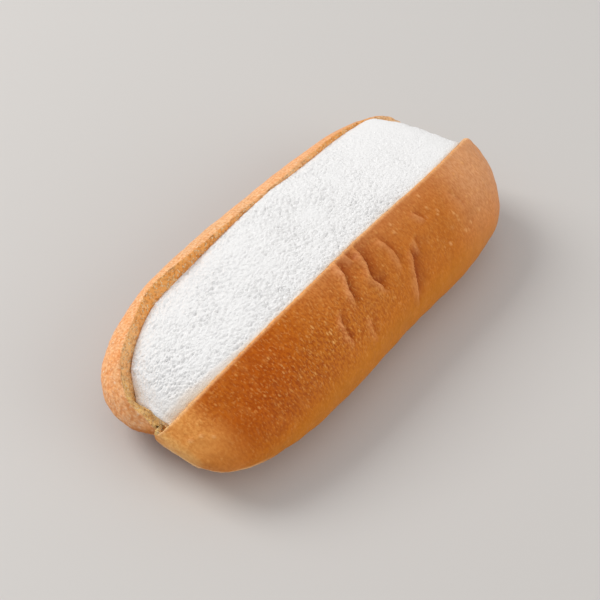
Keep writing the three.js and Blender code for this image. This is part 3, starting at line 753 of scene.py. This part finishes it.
def colour_bread(P, D, SIDE, look):
    p = P.reshape(-1, 3)
    x, y, z = p.T
    d, side = D.reshape(-1), SIDE.reshape(-1)
    right, left = side == RIGHT, side == LEFT
    soft = perlin(p, 14.0, 61)
    softer = perlin(p, 30.0, 62)
    fine = perlin(p, 4.0, 63)
    ones = np.ones_like(x)
    c = np.tile(np.array(GOLDEN), (len(x), 1))
    # right half
    deep = np.exp(-(((x + 58) / 25) ** 2)) * (1 - 0.75 * smooth((d - 13) / 20)) * (1 + 0.25 * soft)
    c = lay(c, DEEP, deep)
    c = lay(c, LOW, 0.85 * smooth((d - 24) / 9 + 0.15 * softer))
    # the far end: partly paler crust, partly a painted sheen of light
    far = smooth((x - 30 + 6 * softer) / 30) * (1 - 0.75 * smooth((d - 12) / 24))
    c = lay(c, PINK_AND_SHEEN, far)
    ridge = np.exp(-d / 8.0) * smooth((x + 42) / 30)
    c = lay(c, (0.60, 0.215, 0.075), 0.75 * ridge * (1 - far))
    tip = smooth((-x - 69 + 2.5 * soft) / 11) * (1 - 0.55 * smooth((d - 11) / 8))
    c = lay(c, TIP, tip)
    low_band = smooth((9.5 - z) / 8.5)
    c = lay(c, BASE, 0.8 * low_band)
    c = lay(c, PALE, smooth((-x - 81.3) / 1.3) * smooth((25 - d) / 8) * 0.55)
    # painted rim light: the near end lightened where its surface turns away from the view, along its outline
    turn = look["facing"]
    painted_rim_light = smooth((0.46 - turn) / 0.14) * smooth((turn + 0.25) / 0.2) * smooth((-x - 62) / 12) * smooth((z - 1.5) / 3) * smooth((d + 0.5) / 2)
    c = lay(c, (0.97, 0.62, 0.30), 0.75 * painted_rim_light)
    c = lay(c, (0.93, 0.46, 0.17), 0.6 * look["dot"])
    # painted shade in the hollows of the creases
    c = lay(c, CREASE_SHADE, 0.9 * look["crease_shade_mask"])
    # painted highlight along the raised lips of the creases
    c = lay(c, (0.84, 0.37, 0.16), 0.48 * look["crest_highlight_mask"] * (1 + 0.5 * fine))
    # left half: lighter crust, partly its own colour and partly a painted sheen where it faces the light
    cl = np.tile(np.array(PEACH_AND_SHEEN), (len(x), 1))
    cl = lay(cl, (0.90, 0.49, 0.22), np.exp(-(((x + 20) / 32) ** 2)) * 0.8)
    cl = lay(cl, (0.80, 0.36, 0.125), smooth((x - 30) / 30) * 0.8)
    cl = lay(cl, (0.93, 0.36, 0.10), 0.45 * smooth((fine + 0.1) / 0.7) * (0.4 + 0.6 * smooth((-x - 45) / 20)))
    cl = lay(cl, GOLDEN, smooth((d - 13 + 3 * softer) / 14))
    cl = lay(cl, DEEP, 0.5 * np.exp(-(((x + 10) / 45) ** 2)) * np.exp(-(((d - 27) / 11) ** 2)))
    cl = lay(cl, BASE, 0.8 * low_band)
    below = smooth((look["foot"] - z - 0.5) / 5)
    is_left = mix(left * 1.0, smooth(0.5 + (y - look["mid"]) / 16), below)
    c = c + (cl - c) * is_left[:, None]
    # the underside is paler and even
    under = smooth((1.6 - z) / 1.4)
    c = lay(c, (0.60, 0.27, 0.065), 0.7 * under)
    # cut edge and cut face
    c = lay(c, RIM, np.exp(-(((d - 0.1) / np.where(right, 0.62, 0.5)) ** 2)) * np.where(right, 0.95, 0.45))
    crumb = look["crumb"]
    cc = np.tile(np.array(CRUMB), (len(x), 1))
    cc = lay(cc, (0.92, 0.56, 0.30), smooth((x + 25) / 35) * smooth((38 - x) / 22) * 0.6)
    cc = lay(cc, (1.0, 0.545, 0.235), 0.75 * smooth((-x - 57) / 12))
    cc = lay(cc, LIPC, smooth((-x - 76) / 5))
    cc = lay(cc, (0.98, 0.62, 0.30), 0.6 * smooth((perlin(p, 1.4, 64) - 0.18) / 0.4))
    # painted shade in the crumb's sunk pores
    cc = lay(cc, PORE_SHADE, 0.38 * look["pore_shade"])
    cc = lay(cc, (0.93, 0.74, 0.48), smooth((-d - 8) / 8) * 0.8)
    cc = lay(cc, (0.90, 0.56, 0.30), 0.75 * smooth((x - 60) / 8))
    c = c * (1 - crumb[:, None]) + cc * crumb[:, None]
    c = c * (1 + 0.05 * fine + 0.04 * soft)[:, None]
    # how grainy the skin is
    near = smooth((30 - x) / 55)
    mid_band = np.exp(-(((x + 32) / 26) ** 2)) * np.exp(-(((d - 18) / 9) ** 2))
    grainy = np.where(right, (0.60 + 0.24 * near + 0.75 * mid_band) * (1 - 0.5 * smooth((-x - 63) / 9) * smooth((d - 7) / 7)), 1.15 - 0.4 * smooth((x - 10) / 40))
    grainy = grainy * (1 - 0.65 * smooth((d - 23) / 9)) * np.where(left, 1 - 0.4 * smooth((d - 11) / 8), 1) * (1 - crumb) * (1 - 0.8 * under)
    look["grainy"] = grainy
    look["crumbs"] = crumb
    # painted sheen: the left crust near its cut edge, whose grain takes lighter tints
    look["peach_sheen"] = left * (1 - crumb) * (1 - smooth((d - 14) / 8))
    return np.clip(c, 0.002, 0.96)


def colour_cream(Q, look):
    p = Q.reshape(-1, 3)
    x = p[:, 0]
    c = np.tile(np.array(CREAM), (len(x), 1))
    strip = look["strip"]
    near = smooth((-x - 30) / 40)
    fr, fl = look["from_right"], look["from_left"]
    # painted light reflected from the bread: onto the smooth strip and along both edges of the cream
    c = lay(c, BREAD_BOUNCE, (0.2 + 0.3 * near) * strip)
    c = lay(c, BREAD_BOUNCE, 0.8 * np.exp(-fr / 0.7))
    c = lay(c, IVORY_AND_BOUNCE, np.exp(-fr / 0.35) * 0.9)
    # near the nose: painted light reflected from the crust onto the smooth strip
    c = lay(c, IVORY_AND_BOUNCE, 0.75 * near * np.exp(-fr / (0.5 + 1.6 * smooth((-x - 62) / 12))))
    c = lay(c, BREAD_BOUNCE, 0.7 * np.exp(-fl / 0.5))
    # painted shade in the pits of the foam
    c = c * (1 - 0.05 * look["pit_shade"])[:, None]
    return np.clip(c, 0, 0.95)


def paint(o, name, rgb, tips):
    """A colour attribute on every vertex."""
    full = np.ones((rgb.shape[0] + len(tips), 4))
    full[: rgb.shape[0], :3] = rgb
    full[rgb.shape[0] :, :3] = np.array(tips)
    at = o.data.attributes.new(name, "FLOAT_COLOR", "POINT")
    at.data.foreach_set("color", full.astype(np.float32).ravel())


def ring_means(values, shape, label):
    """The mean of the first and of the last ring for each tip."""
    v = values.reshape(shape + (-1,))
    out = []
    for ring in (0, -1):
        for t in range(label.max() + 1):
            out.append(v[ring][label == t].mean(0))
    return np.array(out)


# the bread
s, P, D, SIDE, nR = bread_grid(step=0.47, near=1 - 3e-6, far=1 - 3e-6)
n = grid_normals(P)
P2, look = relief_bread(P, n, D, SIDE)
bread = ring_mesh("soft_roll_bread", P2, [], nR=nR)
print("bread tris", sum(len(p.vertices) - 2 for p in bread.data.polygons))
look["mid"] = (slit_line(s)[:, None] + 0 * D).reshape(-1)
look["foot"] = (slit_foot(s)[:, None] + 0 * D).reshape(-1)
rgb = colour_bread(P, D, SIDE, look)
paint(bread, "tint", rgb, np.zeros((0, 3)))
grainy = look["grainy"]
put(bread, "grainy", grainy, [])
put(bread, "crumbs", look["crumbs"], [])
put(bread, "peach_sheen", look["peach_sheen"], [])

# the cream
run, Q, v = cream_grid()
Q2, look = relief_cream(Q, v, run)
label = np.zeros(Q.shape[1], int)
cream = ring_mesh("whipped_cream_filling", Q2, [(label, [Q2[0].mean(0)]), (label, [Q2[-1].mean(0)])], flip=True)
print("cream tris", sum(len(p.vertices) - 2 for p in cream.data.polygons))
rgb = colour_cream(Q, look)
paint(cream, "tint", rgb, ring_means(rgb, Q.shape[:2], label))

# ---------------------------------------------------------------- materials
def material(name, color, rough):
    m = bpy.data.materials.new(name)
    m.use_nodes = True
    b = m.node_tree.nodes["Principled BSDF"]
    b.inputs["Base Color"].default_value = (*color, 1)
    b.inputs["Roughness"].default_value = rough
    return m


def tinted(name, rough):
    """A material that takes its colour from the piece's own tint."""
    m = material(name, (1, 1, 1), rough)
    nodes, links = m.node_tree.nodes, m.node_tree.links
    at = nodes.new("ShaderNodeAttribute")
    at.attribute_name = "tint"
    links.new(at.outputs["Color"], nodes["Principled BSDF"].inputs["Base Color"])
    nodes["Principled BSDF"].inputs["Specular IOR Level"].default_value = 0.16
    return m


def node(m, kind, **values):
    n = m.node_tree.nodes.new(kind)
    for k, v in values.items():
        setattr(n, k, v)
    return n


def math_node(m, op, a, b=None, c=None):
    n = node(m, "ShaderNodeMath", operation=op)
    for i, v in enumerate((a, b, c)):
        if v is None:
            continue
        if isinstance(v, (int, float)):
            n.inputs[i].default_value = v
        else:
            m.node_tree.links.new(v, n.inputs[i])
    return n.outputs[0]


def mix_node(m, kind, factor, a, b):
    n = node(m, "ShaderNodeMix", data_type="RGBA", blend_type=kind)
    n.clamp_factor = True
    for i, v in ((0, factor), (6, a), (7, b)):
        if isinstance(v, tuple):
            n.inputs[i].default_value = v
        elif isinstance(v, (int, float)):
            n.inputs[i].default_value = v
        else:
            m.node_tree.links.new(v, n.inputs[i])
    return n.outputs[2]


def ramp_node(m, value, lo, hi):
    n = node(m, "ShaderNodeMapRange", interpolation_type="SMOOTHSTEP")
    m.node_tree.links.new(value, n.inputs[0])
    n.inputs[1].default_value, n.inputs[2].default_value = lo, hi
    return n.outputs[0]


def stretched(m, scale):
    co = node(m, "ShaderNodeTexCoord")
    mp = node(m, "ShaderNodeMapping")
    mp.inputs["Scale"].default_value = scale
    m.node_tree.links.new(co.outputs["Object"], mp.inputs["Vector"])
    return mp.outputs["Vector"]


def noise_node(m, vector, scale, detail=2.0):
    n = node(m, "ShaderNodeTexNoise")
    m.node_tree.links.new(vector, n.inputs["Vector"])
    n.inputs["Scale"].default_value, n.inputs["Detail"].default_value = scale, detail
    return n.outputs["Fac"]


def cell_node(m, vector, scale):
    n = node(m, "ShaderNodeTexVoronoi")
    m.node_tree.links.new(vector, n.inputs["Vector"])
    n.inputs["Scale"].default_value = scale
    sep = node(m, "ShaderNodeSeparateColor")
    m.node_tree.links.new(n.outputs["Color"], sep.inputs[0])
    return n.outputs["Distance"], sep.outputs[0], sep.outputs[1]


# bread: the tint, with light specks of tiny blisters and darker grain over it
m = tinted("bread_crust", 0.48)
nt = m.node_tree
shader = nt.nodes["Principled BSDF"]
tint = next(n for n in nt.nodes if n.type == "ATTRIBUTE").outputs["Color"]
grainy = node(m, "ShaderNodeAttribute", attribute_name="grainy").outputs["Fac"]
crumbs = node(m, "ShaderNodeAttribute", attribute_name="crumbs").outputs["Fac"]
across = stretched(m, (1.0, 0.52, 0.52))
even = stretched(m, (1.0, 1.0, 1.0))
peach_sheen = node(m, "ShaderNodeAttribute", attribute_name="peach_sheen").outputs["Fac"]
d2, r2, g2 = cell_node(m, across, 900.0)
speck_noise = noise_node(m, across, 1700.0, 1.0)
patchy = noise_node(m, even, 160.0, 1.0)
speck = math_node(m, "MULTIPLY", ramp_node(m, speck_noise, 0.56, 0.70), ramp_node(m, patchy, 0.05, 0.50))
dash = math_node(m, "MULTIPLY", ramp_node(m, d2, 0.40, 0.12), ramp_node(m, r2, 0.40, 1.0))
dash = math_node(m, "MULTIPLY", dash, math_node(m, "ADD", 0.35, math_node(m, "MULTIPLY", ramp_node(m, patchy, 0.35, 0.65), 0.65)))
specks = math_node(m, "MULTIPLY", math_node(m, "MAXIMUM", math_node(m, "MULTIPLY", speck, 0.38), dash), grainy)
grain = noise_node(m, across, 1500.0, 2.0)
soft_grain = noise_node(m, across, 420.0, 3.0)
# the left crust near its cut edge gets lighter grain and speck tints, partly a painted sheen
low_shade = mix_node(m, "MIX", peach_sheen, (0.76, 0.57, 0.36, 1), (0.79, 0.57, 0.40, 1))
high_shade = mix_node(m, "MIX", peach_sheen, (1.20, 1.34, 1.5, 1), (1.12, 1.32, 1.6, 1))
shade = mix_node(m, "MIX", ramp_node(m, grain, 0.30, 0.70), low_shade, high_shade)
shade = mix_node(m, "MIX", math_node(m, "MULTIPLY", grainy, 0.62), (1, 1, 1, 1), shade)
grained = mix_node(m, "MULTIPLY", 1.0, tint, shade)
c2 = mix_node(m, "MIX", math_node(m, "MULTIPLY", ramp_node(m, soft_grain, 0.5, 0.72), 0.14), grained, (0.74, 0.31, 0.07, 1))
spark_colour = mix_node(m, "MIX", peach_sheen, (1.0, 0.50, 0.15, 1), (1.0, 0.82, 0.60, 1))
c3 = mix_node(m, "MIX", math_node(m, "MULTIPLY", specks, 0.58), c2, spark_colour)
# the cut face: pores, sunk by the bump and darkened with painted shade, and light crumbs
crumb_noise = noise_node(m, even, 1050.0, 3.0)
crumb_light = noise_node(m, stretched(m, (1.0, 1.0, 1.3)), 1350.0, 1.0)
pore = math_node(m, "MULTIPLY", ramp_node(m, crumb_noise, 0.50, 0.34), crumbs)
spark = math_node(m, "MULTIPLY", ramp_node(m, crumb_light, 0.56, 0.70), crumbs)
# painted shade in the pores that the bump sinks
c4 = mix_node(m, "MIX", math_node(m, "MULTIPLY", pore, 0.32), c3, (0.60, 0.175, 0.022, 1))
c5 = mix_node(m, "MIX", math_node(m, "MULTIPLY", spark, 0.85), c4, (1.0, 0.74, 0.44, 1))
nt.links.new(c5, shader.inputs["Base Color"])
height = math_node(m, "ADD", math_node(m, "MULTIPLY", specks, 0.6), math_node(m, "MULTIPLY", math_node(m, "MULTIPLY", grain, grainy), 0.9))
height = math_node(m, "SUBTRACT", math_node(m, "ADD", height, math_node(m, "MULTIPLY", spark, 0.8)), math_node(m, "MULTIPLY", pore, 1.2))
bump = node(m, "ShaderNodeBump")
bump.inputs["Strength"].default_value = 0.75
bump.inputs["Distance"].default_value = 0.0003
nt.links.new(height, bump.inputs["Height"])
nt.links.new(bump.outputs["Normal"], shader.inputs["Normal"])
shader.inputs["Specular IOR Level"].default_value = 0.11
bread.data.materials.append(m)

# cream: soft and matte, with the finest foam as a bump
m = tinted("whipped_cream", 0.6)
nt = m.node_tree
shader = nt.nodes["Principled BSDF"]
vec = stretched(m, (0.8, 1.0, 1.0))
foam = noise_node(m, vec, 1900.0, 2.0)
bump = node(m, "ShaderNodeBump")
bump.inputs["Strength"].default_value = 0.9
bump.inputs["Distance"].default_value = 0.0004
nt.links.new(foam, bump.inputs["Height"])
nt.links.new(bump.outputs["Normal"], shader.inputs["Normal"])
cream.data.materials.append(m)

for piece, node, slot in ((bread, "bread", "bread_crust"), (cream, "cream", "whipped_cream")):
    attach(piece, "root")
    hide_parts(node)

# ---------------------------------------------------------------- floor, light, camera
me = bpy.data.meshes.new("floor")
me.from_pydata([(-4, -4, 0), (4, -4, 0), (4, 4, 0), (-4, 4, 0)], [], [(0, 1, 2, 3)])
floor = bpy.data.objects.new("floor", me)
bpy.context.scene.collection.objects.link(floor)
floor.data.materials.append(material("floor", (0.625, 0.60, 0.575), 0.6))

world = bpy.data.worlds.new("world")
world.use_nodes = True
world.node_tree.nodes["Background"].inputs["Color"].default_value = (0.95, 0.97, 1.0, 1)
world.node_tree.nodes["Background"].inputs["Strength"].default_value = 0.55
bpy.context.scene.world = world


def area(name, at, to, size, power, color=(1, 1, 1)):
    data = bpy.data.lights.new(name, "AREA")
    data.shape, data.size, data.energy, data.color = "SQUARE", size, power, color
    o = bpy.data.objects.new(name, data)
    bpy.context.scene.collection.objects.link(o)
    o.location = at
    o.rotation_mode = "QUATERNION"
    o.rotation_quaternion = (Vector(to) - Vector(at)).to_track_quat("-Z", "Y")
    return o


area("window", (-0.2, 0.95, 0.9), (0, 0, 0.02), 0.7, 10.5, (1.0, 0.985, 0.96))
area("fill", (0.35, -1.1, 0.55), (0, 0, 0.02), 1.0, 5.0, (1.0, 0.95, 0.88))

cam_data = bpy.data.cameras.new("camera")
cam_data.lens, cam_data.sensor_width = 78, 36
cam_data.clip_start, cam_data.clip_end = 0.01, 20
cam = bpy.data.objects.new("camera", cam_data)
bpy.context.scene.collection.objects.link(cam)
az, el = math.radians(-51.2), math.radians(46.7)
back = Vector((math.sin(az) * math.cos(el), -math.cos(az) * math.cos(el), math.sin(el)))
cam.location = Vector((-0.01422, -0.0059665, 0.02)) + back * 0.415
cam.rotation_mode = "QUATERNION"
cam.rotation_quaternion = (-back).to_track_quat("-Z", "Y")
bpy.context.scene.camera = cam

view = bpy.context.scene.view_settings
view.view_transform, view.look, view.exposure, view.gamma = "Standard", "None", 0, 1
